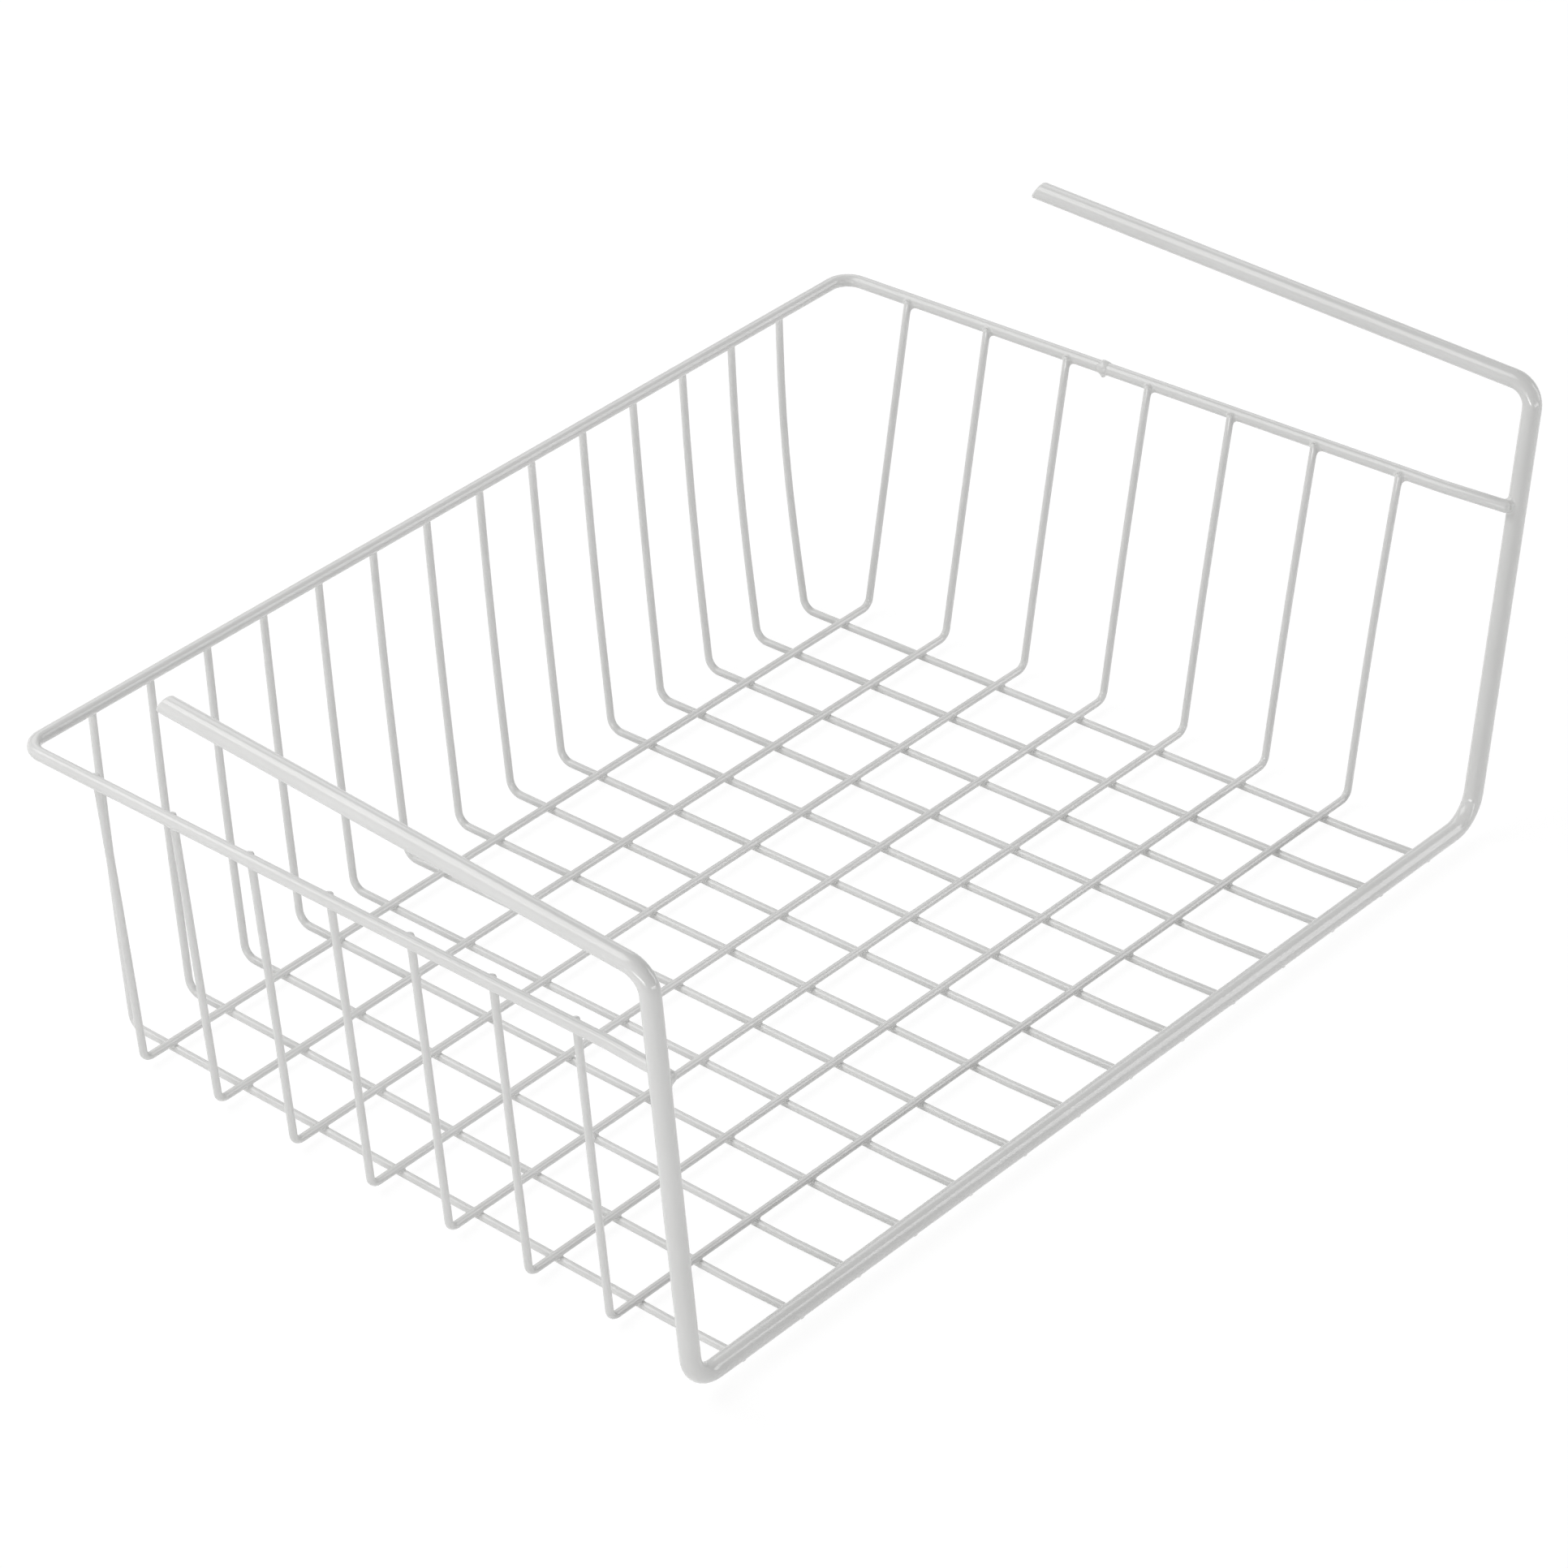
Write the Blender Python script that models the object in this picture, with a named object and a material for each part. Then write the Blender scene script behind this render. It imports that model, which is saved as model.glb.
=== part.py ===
"""Under shelf basket of welded, white coated steel wire.

Two long arms slide over a shelf board and the basket hangs below it. A heavy frame wire makes
the arms, the two front posts and the front bar. A lighter rim wire runs round the sides and the
back. Thin wires make the floor, the back wall and the side walls, and the front stays open.

Metres, +Z up. The front bar faces -Y, the arms point to +Y, and the origin is under the middle
of the basket, on the surface that it stands on.
"""

import math

import bmesh
import bpy
from mathutils import Quaternion, Vector

# Thickness of the three wires, coating included
FRAME_WIRE = 0.0060
RIM_WIRE = 0.0040
GRID_WIRE = 0.0024

# Gap kept at each weld, where two round wires meet
WELD_GAP = 0.0003

# Floor grid: the long wires run front to back and the cross wires from side to side
LONG_WIRE_COUNT = 14
LONG_WIRE_PITCH = 0.0254
SIDE_MARGIN = 0.0126
CROSS_WIRE_COUNT = 7
CROSS_WIRE_PITCH = 0.0305
FRONT_MARGIN = 0.0383
BACK_MARGIN = 0.0163
LONG_WIRE_NOSE = 0.0004

# Walls: how far they lean out, and how much narrower each side gets towards the back
WALL_LEAN = math.radians(7.5)
SIDE_TAPER_SHARE = 0.04

# Heights of the centre lines of the rim and of the arms above the standing surface
RIM_FRONT_HEIGHT = 0.1115
RIM_BACK_HEIGHT = 0.1071
ARM_FRONT_HEIGHT = 0.1490
ARM_REAR_HEIGHT = 0.1554

# Arms and posts
ARM_LENGTH = 0.1788
POST_LEAN_BACK = 0.0020

# Cut ends at the rim
RIM_END_OVERRUN = 0.0004
LONG_WIRE_TOP_DROP = 0.0005
CROSS_WIRE_TOP_RISE = 0.0014

# Bend radii on the wires' centre lines
FRAME_FOOT_BEND = 0.0110
FRAME_ARM_BEND = 0.0075
RIM_BEND = 0.0070
CROSS_WIRE_BEND = 0.0055
LONG_WIRE_BEND = 0.0045

# Flat sides round each wire, and straight steps in each bend
FRAME_SIDES = 12
RIM_SIDES = 12
GRID_SIDES = 8
BEND_STEPS = 5

# Places that follow from the sizes above, measured from the front bar's centre line
LONG_WIRE_Z = GRID_WIRE / 2
CROSS_WIRE_Z = LONG_WIRE_Z + GRID_WIRE + WELD_GAP
FRONT_BAR_Z = LONG_WIRE_Z + (GRID_WIRE + FRAME_WIRE) / 2 + WELD_GAP
FLOOR_HALF_WIDTH = (LONG_WIRE_COUNT - 1) / 2 * LONG_WIRE_PITCH + SIDE_MARGIN
FLOOR_DEPTH = FRONT_MARGIN + (CROSS_WIRE_COUNT - 1) * CROSS_WIRE_PITCH + BACK_MARGIN
WALL_SLOPE = math.tan(WALL_LEAN)


def side_by_side(first_wire, second_wire):
    """Level distance between the centre lines of a wire of the wall and one welded beside it."""
    return ((first_wire + second_wire) / 2 + WELD_GAP) / math.cos(WALL_LEAN)


GRID_TO_RIM = side_by_side(GRID_WIRE, RIM_WIRE)
RIM_TO_POST = side_by_side(RIM_WIRE, FRAME_WIRE)
RIM_FRONT_HALF_WIDTH = FLOOR_HALF_WIDTH + WALL_SLOPE * (RIM_FRONT_HEIGHT - CROSS_WIRE_Z) + GRID_TO_RIM
RIM_BACK_Y = FLOOR_DEPTH + WALL_SLOPE * (RIM_BACK_HEIGHT - LONG_WIRE_Z) - GRID_TO_RIM
POST_LEAN_BACK_SLOPE = POST_LEAN_BACK / (ARM_FRONT_HEIGHT - FRONT_BAR_Z)
RIM_FRONT_Y = POST_LEAN_BACK_SLOPE * (RIM_FRONT_HEIGHT - FRONT_BAR_Z)
RIM_DROP_SLOPE = (RIM_FRONT_HEIGHT - RIM_BACK_HEIGHT) / (RIM_BACK_Y - RIM_FRONT_Y)

# The basket's foremost and rearmost faces, which set its middle
LONG_WIRE_TOP = RIM_BACK_HEIGHT - LONG_WIRE_TOP_DROP
BACK_TOP_Y = FLOOR_DEPTH + WALL_SLOPE * (LONG_WIRE_TOP - LONG_WIRE_Z)
FRONT_FACE_Y = -FRAME_WIRE / 2
BACK_FACE_Y = BACK_TOP_Y + GRID_WIRE / 2 * math.cos(WALL_LEAN)

AXIS_X = Vector((1, 0, 0))
AXIS_Y = Vector((0, 1, 0))
AXIS_Z = Vector((0, 0, 1))


def rim_half_width(y):
    """Half the width between the rim's centre lines, at a distance behind the front bar."""
    return RIM_FRONT_HALF_WIDTH - SIDE_TAPER_SHARE * y


def rim_height(y):
    """Height of the rim's centre line, at a distance behind the front bar."""
    return RIM_FRONT_HEIGHT - RIM_DROP_SLOPE * (y - RIM_FRONT_Y)


def clear_scene():
    """Remove every object that the file starts with."""
    for item in list(bpy.data.objects):
        bpy.data.objects.remove(item, do_unlink=True)


def coating(name):
    """White powder coating: a slightly warm white, satin, with no metal showing."""
    material = bpy.data.materials.new(name)
    material.use_nodes = True
    shader = material.node_tree.nodes["Principled BSDF"]
    shader.inputs["Base Color"].default_value = (0.80, 0.80, 0.78, 1.0)
    shader.inputs["Metallic"].default_value = 0.0
    shader.inputs["Roughness"].default_value = 0.38
    return material


def squared(direction, along):
    """The part of a direction that is square to a run of wire."""
    return (direction - along * direction.dot(along)).normalized()


def bent_centre_line(corners, bend_radii, flats_face):
    """Points of a bent wire, each with the wire's direction there and the way its flats face.

    Straight runs join the corners, and an arc of the given radius rounds each corner between
    two runs. A bend turns the flats of one run into the flats of the next.
    """
    runs = [(end - start).normalized() for start, end in zip(corners, corners[1:])]
    flats = [squared(face, run) for face, run in zip(flats_face, runs)]
    stations = [(corners[0], runs[0], flats[0])]
    for index, radius in enumerate(bend_radii):
        before, after = runs[index], runs[index + 1]
        turn = before.angle(after)
        pivot = before.cross(after).normalized()
        inward = pivot.cross(before)
        corner = corners[index + 1]
        centre = corner - before * (radius * math.tan(turn / 2)) + inward * radius
        unturned = Quaternion(pivot, -turn) @ flats[index + 1]
        for step in range(BEND_STEPS + 1):
            part = step / BEND_STEPS
            rotation = Quaternion(pivot, turn * part)
            along = rotation @ before
            point = centre - (rotation @ inward) * radius
            face = rotation @ flats[index].lerp(unturned, part)
            stations.append((point, along, squared(face, along)))
    stations.append((corners[-1], runs[-1], flats[-1]))
    return stations


def wire(name, parent, thickness, sides, stations):
    """One wire as a closed tube with even flat sides and square cut ends.

    The thickness is measured between opposite flats, so that the wire touches what it lies on
    with a flat.
    """
    corner_radius = thickness / 2 / math.cos(math.pi / sides)
    mesh = bmesh.new()
    rings = []
    for point, along, face in stations:
        other = along.cross(face)
        ring = []
        for side in range(sides):
            angle = math.tau * (side + 0.5) / sides
            offset = face * math.cos(angle) + other * math.sin(angle)
            ring.append(mesh.verts.new(point + offset * corner_radius))
        rings.append(ring)
    for ring, following in zip(rings, rings[1:]):
        for side in range(sides):
            beside = (side + 1) % sides
            mesh.faces.new((ring[side], ring[beside], following[beside], following[side]))
    mesh.faces.new(list(reversed(rings[0])))
    mesh.faces.new(rings[-1])
    bmesh.ops.recalc_face_normals(mesh, faces=mesh.faces)
    data = bpy.data.meshes.new(name)
    mesh.to_mesh(data)
    mesh.free()
    data.shade_smooth()
    data.set_sharp_from_angle(angle=math.radians(60))
    data.materials.append(coating(name + "_coating"))
    piece = bpy.data.objects.new(name, data)
    piece.parent = parent
    bpy.context.scene.collection.objects.link(piece)
    return piece


def basket_middle():
    """Empty that carries every wire and puts the basket's middle over the origin."""
    middle = bpy.data.objects.new("basket_middle", None)
    middle.location = (0, -(FRONT_FACE_Y + BACK_FACE_Y) / 2, 0)
    bpy.context.scene.collection.objects.link(middle)
    return middle


def add_hanging_frame(parent):
    """The heavy wire: arm, post, front bar, post and arm in one bent length.

    The posts lean out with the side walls and stand just outside the rim. The arms rise a little
    towards their free ends, and come together as the basket's sides do.
    """
    post_at_rim = RIM_FRONT_HALF_WIDTH + RIM_TO_POST
    foot_x = post_at_rim - WALL_SLOPE * (RIM_FRONT_HEIGHT - FRONT_BAR_Z)
    top_x = post_at_rim + WALL_SLOPE * (ARM_FRONT_HEIGHT - RIM_FRONT_HEIGHT)
    end_x = top_x - SIDE_TAPER_SHARE * ARM_LENGTH
    top_y = POST_LEAN_BACK
    end_y = top_y + ARM_LENGTH
    top_z = ARM_FRONT_HEIGHT - FRONT_BAR_Z
    end_z = ARM_REAR_HEIGHT - FRONT_BAR_Z
    corners = [
        Vector((-end_x, end_y, end_z)),
        Vector((-top_x, top_y, top_z)),
        Vector((-foot_x, 0, 0)),
        Vector((foot_x, 0, 0)),
        Vector((top_x, top_y, top_z)),
        Vector((end_x, end_y, end_z)),
    ]
    bends = [FRAME_ARM_BEND, FRAME_FOOT_BEND, FRAME_FOOT_BEND, FRAME_ARM_BEND]
    flats_face = [AXIS_X, AXIS_X, AXIS_Z, -AXIS_X, -AXIS_X]
    stations = bent_centre_line(corners, bends, flats_face)
    frame = wire("hanging_frame_wire", parent, FRAME_WIRE, FRAME_SIDES, stations)
    frame.location = (0, 0, FRONT_BAR_Z)


def add_rim(parent):
    """The rim: left side, back and right side in one length, open at the front.

    It lies in one plane that drops a little towards the back. Its cut ends stand just in front of
    the posts, on their inner sides.
    """
    tilt = math.atan(RIM_DROP_SLOPE)
    front_y = RIM_FRONT_Y - FRAME_WIRE / 2 - RIM_END_OVERRUN
    front_x = rim_half_width(front_y)
    back_x = rim_half_width(RIM_BACK_Y)
    front_run = (front_y - RIM_FRONT_Y) / math.cos(tilt)
    back_run = (RIM_BACK_Y - RIM_FRONT_Y) / math.cos(tilt)
    corners = [
        Vector((-front_x, front_run, 0)),
        Vector((-back_x, back_run, 0)),
        Vector((back_x, back_run, 0)),
        Vector((front_x, front_run, 0)),
    ]
    stations = bent_centre_line(corners, [RIM_BEND] * 2, [AXIS_Z] * 3)
    rim = wire("rim_wire", parent, RIM_WIRE, RIM_SIDES, stations)
    rim.location = (0, RIM_FRONT_Y, RIM_FRONT_HEIGHT)
    rim.rotation_euler.x = -tilt


def add_long_wires(parent):
    """The wires that run under the front bar, along the floor and up the back wall.

    They are the lowest layer, stand on the surface, and end behind the rim. They fan together
    towards the back, by as much as the sides come in.
    """
    outermost = (LONG_WIRE_COUNT - 1) / 2
    for index in range(LONG_WIRE_COUNT):
        x = (index - outermost) * LONG_WIRE_PITCH
        fan_angle = math.atan(SIDE_TAPER_SHARE * x / FLOOR_HALF_WIDTH)
        stretch = 1 / math.cos(fan_angle)
        corners = [
            Vector((0, -LONG_WIRE_NOSE * stretch, 0)),
            Vector((0, FLOOR_DEPTH * stretch, 0)),
            Vector((0, BACK_TOP_Y * stretch, LONG_WIRE_TOP - LONG_WIRE_Z)),
        ]
        stations = bent_centre_line(corners, [LONG_WIRE_BEND], [AXIS_X] * 2)
        name = f"long_wire_{index + 1:02d}"
        long_wire = wire(name, parent, GRID_WIRE, GRID_SIDES, stations)
        long_wire.location = (x, 0, LONG_WIRE_Z)
        long_wire.rotation_euler.z = fan_angle


def add_cross_wires(parent):
    """The wires that lie on the long wires and turn up at both sides to the rim's inner face."""
    for index in range(CROSS_WIRE_COUNT):
        y = FRONT_MARGIN + index * CROSS_WIRE_PITCH
        floor_x = FLOOR_HALF_WIDTH - SIDE_TAPER_SHARE * y
        rim_z = rim_height(y) - CROSS_WIRE_Z
        slope = (rim_half_width(y) - GRID_TO_RIM - floor_x) / rim_z
        top_z = rim_z + CROSS_WIRE_TOP_RISE
        top_x = floor_x + slope * top_z
        corners = [
            Vector((-top_x, 0, top_z)),
            Vector((-floor_x, 0, 0)),
            Vector((floor_x, 0, 0)),
            Vector((top_x, 0, top_z)),
        ]
        stations = bent_centre_line(corners, [CROSS_WIRE_BEND] * 2, [AXIS_Y] * 3)
        cross_wire = wire(f"cross_wire_{index + 1}", parent, GRID_WIRE, GRID_SIDES, stations)
        cross_wire.location = (0, y, CROSS_WIRE_Z)


clear_scene()
basket = basket_middle()
add_hanging_frame(basket)
add_rim(basket)
add_long_wires(basket)
add_cross_wires(basket)
bpy.context.view_layer.update()
print("wires in the basket:", len([item for item in bpy.data.objects if item.type == "MESH"]))
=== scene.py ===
# %% [markdown]
# # Under shelf basket of white coated wire
#
# Two long arms slide over a shelf board, and a basket of welded wire hangs below them. The real one
# is steel wire in three gauges, bent on formers, spot welded where wires cross, and then coated
# white in one go. So a lesson on it is a lesson on three things: bending round wire, the small
# fillets that weld metal and coating leave at each crossing, and a white semi gloss coating that
# only shows by its light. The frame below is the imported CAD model. Each of its faceted wires is
# replaced by a round one.

# %% Load the frame
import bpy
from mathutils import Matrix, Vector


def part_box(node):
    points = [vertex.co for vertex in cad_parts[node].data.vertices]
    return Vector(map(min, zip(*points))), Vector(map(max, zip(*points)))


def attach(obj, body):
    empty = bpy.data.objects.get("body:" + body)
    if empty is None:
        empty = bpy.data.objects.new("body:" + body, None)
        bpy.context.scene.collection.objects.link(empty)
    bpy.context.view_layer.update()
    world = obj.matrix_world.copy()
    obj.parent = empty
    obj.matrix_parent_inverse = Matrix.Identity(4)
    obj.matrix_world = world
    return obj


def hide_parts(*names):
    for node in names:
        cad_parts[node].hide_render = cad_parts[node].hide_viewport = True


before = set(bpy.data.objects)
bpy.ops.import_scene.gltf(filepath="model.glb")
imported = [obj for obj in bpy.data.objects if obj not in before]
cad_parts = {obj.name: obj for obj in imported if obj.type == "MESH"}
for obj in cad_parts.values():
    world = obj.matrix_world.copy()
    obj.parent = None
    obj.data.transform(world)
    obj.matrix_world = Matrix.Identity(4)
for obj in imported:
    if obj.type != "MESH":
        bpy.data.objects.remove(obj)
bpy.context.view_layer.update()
print("wires in the frame:", len(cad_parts))

# %% Modules
import math
import random

import bpy
from mathutils import Matrix, Vector
from mathutils.geometry import intersect_line_line

# %% [markdown]
# ## Sizes of the real basket
#
# The centre line of each wire is the CAD model's, but for what the welding does to it. It could be
# read off the faceted meshes, but their corners hide where a bend starts. It is clearer to state
# the few sizes that drive the basket, in metres, and to measure the frame, the rim and the last of
# each kind of thin wire against their CAD nodes.

# %% Sizes that drive the basket
FRAME_WIRE = 0.0060
RIM_WIRE = 0.0040
GRID_WIRE = 0.0024
WELD_GAP = 0.0003

LONG_WIRE_COUNT = 14
LONG_WIRE_PITCH = 0.0254
SIDE_MARGIN = 0.0126
CROSS_WIRE_COUNT = 7
CROSS_WIRE_PITCH = 0.0305
FRONT_MARGIN = 0.0383
BACK_MARGIN = 0.0163

WALL_LEAN = math.radians(7.5)
SIDE_TAPER_SHARE = 0.04
RIM_FRONT_HEIGHT = 0.1115
RIM_BACK_HEIGHT = 0.1071
ARM_FRONT_HEIGHT = 0.1490
ARM_REAR_HEIGHT = 0.1554
ARM_LENGTH = 0.1788
POST_LEAN_BACK = 0.0020

# %% Places that follow from them, with y measured from the front bar's centre line
WALL_SLOPE = math.tan(WALL_LEAN)
LONG_WIRE_Z = GRID_WIRE / 2
CROSS_WIRE_Z = LONG_WIRE_Z + GRID_WIRE + WELD_GAP
FRONT_BAR_Z = LONG_WIRE_Z + (GRID_WIRE + FRAME_WIRE) / 2 + WELD_GAP
FLOOR_HALF_WIDTH = (LONG_WIRE_COUNT - 1) / 2 * LONG_WIRE_PITCH + SIDE_MARGIN
FLOOR_DEPTH = FRONT_MARGIN + (CROSS_WIRE_COUNT - 1) * CROSS_WIRE_PITCH + BACK_MARGIN
GRID_TO_RIM = ((GRID_WIRE + RIM_WIRE) / 2 + WELD_GAP) / math.cos(WALL_LEAN)
RIM_TO_POST = ((RIM_WIRE + FRAME_WIRE) / 2 + WELD_GAP) / math.cos(WALL_LEAN)
RIM_FRONT_HALF_WIDTH = (FLOOR_HALF_WIDTH + WALL_SLOPE * (RIM_FRONT_HEIGHT - CROSS_WIRE_Z)
                        + GRID_TO_RIM)
RIM_BACK_Y = FLOOR_DEPTH + WALL_SLOPE * (RIM_BACK_HEIGHT - LONG_WIRE_Z) - GRID_TO_RIM
RIM_FRONT_Y = (POST_LEAN_BACK / (ARM_FRONT_HEIGHT - FRONT_BAR_Z)
               * (RIM_FRONT_HEIGHT - FRONT_BAR_Z))
RIM_DROP_SLOPE = (RIM_FRONT_HEIGHT - RIM_BACK_HEIGHT) / (RIM_BACK_Y - RIM_FRONT_Y)
FRONT_BAR_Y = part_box("hanging_frame_wire")[0].y + FRAME_WIRE / 2


def rim_half_width(y):
    """Half the width between the rim's centre lines."""
    return RIM_FRONT_HALF_WIDTH - SIDE_TAPER_SHARE * y


def rim_height(y):
    """Height of the rim's centre line."""
    return RIM_FRONT_HEIGHT - RIM_DROP_SLOPE * (y - RIM_FRONT_Y)


def long_wire_x(index, y):
    """Where a long wire runs, counted from the left. The wires fan together towards the back."""
    front_x = (index - (LONG_WIRE_COUNT - 1) / 2) * LONG_WIRE_PITCH
    return front_x * (1 - SIDE_TAPER_SHARE * y / FLOOR_HALF_WIDTH)


def cross_wire_y(index):
    """Where a cross wire lies, counted from the front."""
    return FRONT_MARGIN + index * CROSS_WIRE_PITCH


def behind_front_bar(x, y, z):
    """A point whose y is measured from the front bar, in the frame's own coordinates."""
    return Vector((x, FRONT_BAR_Y + y, z))


print(f"floor {2000 * FLOOR_HALF_WIDTH:.0f} mm wide and {1000 * FLOOR_DEPTH:.0f} mm deep")

# %% [markdown]
# ## What the welding does
#
# The CAD model keeps its solids 0.3 mm apart at each weld. Real wires are squeezed together while
# the spot between them is soft, so they are let into each other. In the photograph that shows on
# the floor, where the cross wires lie a little lower than stacked wires would. So at each weld the
# round wires here close the gap and go in by another half millimetre. On the rim's sides and on the
# posts, where a free end softens more, it is almost a whole one. Where a heavy wire has to stay in
# its place, the thinner wire's last 25 mm are drawn to it.

# %% Sizes of the welds and the wires' ends
WELD_DEPTH = 0.0005
RIM_WELD_DEPTH = 0.0009
LET_IN = WELD_GAP + WELD_DEPTH
RIM_LET_IN = WELD_GAP + RIM_WELD_DEPTH
DRAWN_RUN = 0.025
DRAWN_BEND = 0.060
LONG_WIRE_NOSE = 0.0005
LONG_WIRE_TOP_DROP = 0.0008
CROSS_WIRE_TOP_RISE = 0.0007
RIM_END_PAST_LEFT_POST = 0.0013
RIM_END_PAST_RIGHT_POST = 0.0002
LEFT_ARM_LOSS = 0.0009
RIGHT_ARM_GAIN = 0.0022

# %% [markdown]
# ## Camera
#
# The photograph looks down on the basket's front left corner through a long lens, from about two
# metres away. The camera's place and turn were found by lining up the CAD model's wires with the
# photographed ones.

# %% Camera
CAMERA_PLACE = Vector((-1.34060, -1.06093, 1.14501))
CAMERA_AZIMUTH = math.radians(-51.743)
CAMERA_ELEVATION = math.radians(32.482)
CAMERA_ROLL = math.radians(1.414)
CAMERA_LENS = 157.945
SENSOR_WIDTH = 36.0


def add_camera():
    """The photograph's camera, turned to look along its azimuth and elevation."""
    data = bpy.data.cameras.new("photo_camera")
    data.sensor_width = SENSOR_WIDTH
    data.lens = CAMERA_LENS
    camera = bpy.data.objects.new("photo_camera", data)
    bpy.context.scene.collection.objects.link(camera)
    azimuth = Matrix.Rotation(CAMERA_AZIMUTH, 4, "Z")
    elevation = Matrix.Rotation(math.pi / 2 - CAMERA_ELEVATION, 4, "X")
    upright = azimuth @ elevation
    roll = Matrix.Rotation(CAMERA_ROLL, 4, "Z")
    camera.matrix_world = Matrix.Translation(CAMERA_PLACE) @ upright @ roll
    bpy.context.scene.camera = camera


add_camera()
print("camera looks from", tuple(round(value, 3) for value in CAMERA_PLACE))

# %% [markdown]
# ## Colours and nodes
#
# Every colour here is written as the hex value that it has on screen. One function turns it into
# the linear numbers that a shader wants, and one small function adds a node with its settings and
# links.


# %% Helpers for materials
def hex_colour(text):
    """Linear colour, with alpha, of an sRGB hex value such as #E9E9E6."""
    channels = [int(text[start:start + 2], 16) / 255 for start in (1, 3, 5)]
    linear = [value / 12.92 if value <= 0.04045 else ((value + 0.055) / 1.055) ** 2.4
              for value in channels]
    return (*linear, 1.0)


def add_node(tree, kind, links=(), inputs=(), **settings):
    """Add a node, set its properties and inputs, and link the given sockets into it."""
    node = tree.nodes.new(kind)
    for name, value in settings.items():
        setattr(node, name, value)
    for socket, value in dict(inputs).items():
        node.inputs[socket].default_value = value
    for socket, source in dict(links).items():
        tree.links.new(source, node.inputs[socket])
    return node


# %% [markdown]
# ## White powder coating
#
# The finish is a baked white powder or nylon coating, 0.2 to 0.3 mm thick. It is a pigmented
# plastic, so it is not metallic, has an IOR of about 1.5, and its gloss is between satin and semi
# gloss. Three things keep it from looking like paint out of a bucket. The powder melts into a faint
# orange peel, with waves a little over a millimetre long. It is a trace thicker and greyer in some
# places than in others, over some 30 mm. And fine dust in the powder leaves specks that take some
# of the gloss. A flat colour would lose all three, and an image would not wrap round a wire, so
# noise on the object's own coordinates makes them.

# %% Coating material
COATING_LIGHT = "#EEEEED"
COATING_SHADE = "#E3E3E1"
COATING_IOR = 1.52
LEAST_ROUGHNESS = 0.10
MOST_ROUGHNESS = 0.17
ORANGE_PEEL_WAVE = 0.0013
ORANGE_PEEL_DEPTH = 0.000018
ORANGE_PEEL_DETAIL = 1.0
THICKNESS_DRIFT = 0.030
THICKNESS_DETAIL = 2.0
SPECK_SPACING = 0.0020
SPECK_DETAIL = 3.0
SPECK_HARSHNESS = 0.6
SPECK_NOISE_START = 0.35
SPECK_NOISE_END = 0.65


def white_coating():
    """Baked white coating over wire: pigmented plastic with a faint orange peel."""
    material = bpy.data.materials.new("white_powder_coating")
    material.use_nodes = True
    tree = material.node_tree
    shader = tree.nodes["Principled BSDF"]
    place = add_node(tree, "ShaderNodeTexCoord").outputs["Object"]
    drift = add_node(tree, "ShaderNodeTexNoise", {"Vector": place},
                     {"Scale": 1 / THICKNESS_DRIFT, "Detail": THICKNESS_DETAIL})
    specks = add_node(tree, "ShaderNodeTexNoise", {"Vector": place},
                      {"Scale": 1 / SPECK_SPACING, "Detail": SPECK_DETAIL,
                       "Roughness": SPECK_HARSHNESS})
    peel = add_node(tree, "ShaderNodeTexNoise", {"Vector": place},
                    {"Scale": 1 / ORANGE_PEEL_WAVE, "Detail": ORANGE_PEEL_DETAIL})
    colour = add_node(tree, "ShaderNodeMix", {"Factor": drift.outputs["Fac"]}, data_type="RGBA")
    colour.inputs["A"].default_value = hex_colour(COATING_SHADE)
    colour.inputs["B"].default_value = hex_colour(COATING_LIGHT)
    gloss = add_node(tree, "ShaderNodeMapRange", {"Value": specks.outputs["Fac"]},
                     {"From Min": SPECK_NOISE_START, "From Max": SPECK_NOISE_END,
                      "To Min": LEAST_ROUGHNESS, "To Max": MOST_ROUGHNESS})
    bump = add_node(tree, "ShaderNodeBump", {"Height": peel.outputs["Fac"]},
                    {"Strength": 1.0, "Distance": ORANGE_PEEL_DEPTH})
    tree.links.new(colour.outputs["Result"], shader.inputs["Base Color"])
    tree.links.new(gloss.outputs["Result"], shader.inputs["Roughness"])
    tree.links.new(bump.outputs["Normal"], shader.inputs["Normal"])
    shader.inputs["IOR"].default_value = COATING_IOR
    return material


COATING = white_coating()
print("coating colours", COATING_SHADE, "to", COATING_LIGHT)

# %% [markdown]
# ## Bending wire
#
# A wire bender clamps a straight wire and turns it round a former, again and again. The same steps
# work in edit mode: a filled circle is the cut end, an extrusion is a straight run, and a spin
# about the former's centre is a bend. A curve with a bevel would be quicker to write, but its bends
# get uneven rings and its ends need caps. The spin keeps each ring square to the wire, and the mesh
# stays closed. A run between two welds can also bow a little, as pulled wire does.

# %% Helpers that bend a wire
END_ROUNDING_STEPS = 3
LEAST_BEND_STEPS = 2
BOW_STEPS = 8
WIRE_SMOOTH_ANGLE = math.radians(40)


def direction_at_end(start, end, bow=Vector()):
    """Direction in which a bowed run reaches its end."""
    return (end - start - bow * math.pi).normalized()


def push_run(start, end, bow):
    """Extrude the wire's open end along a run, in steps where the run bows."""
    steps = BOW_STEPS if bow.length else 1
    reached = start
    for step in range(1, steps + 1):
        part = step / steps
        target = start.lerp(end, part) + bow * math.sin(math.pi * part)
        bpy.ops.mesh.extrude_region_move(TRANSFORM_OT_translate={"value": target - reached})
        reached = target


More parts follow.
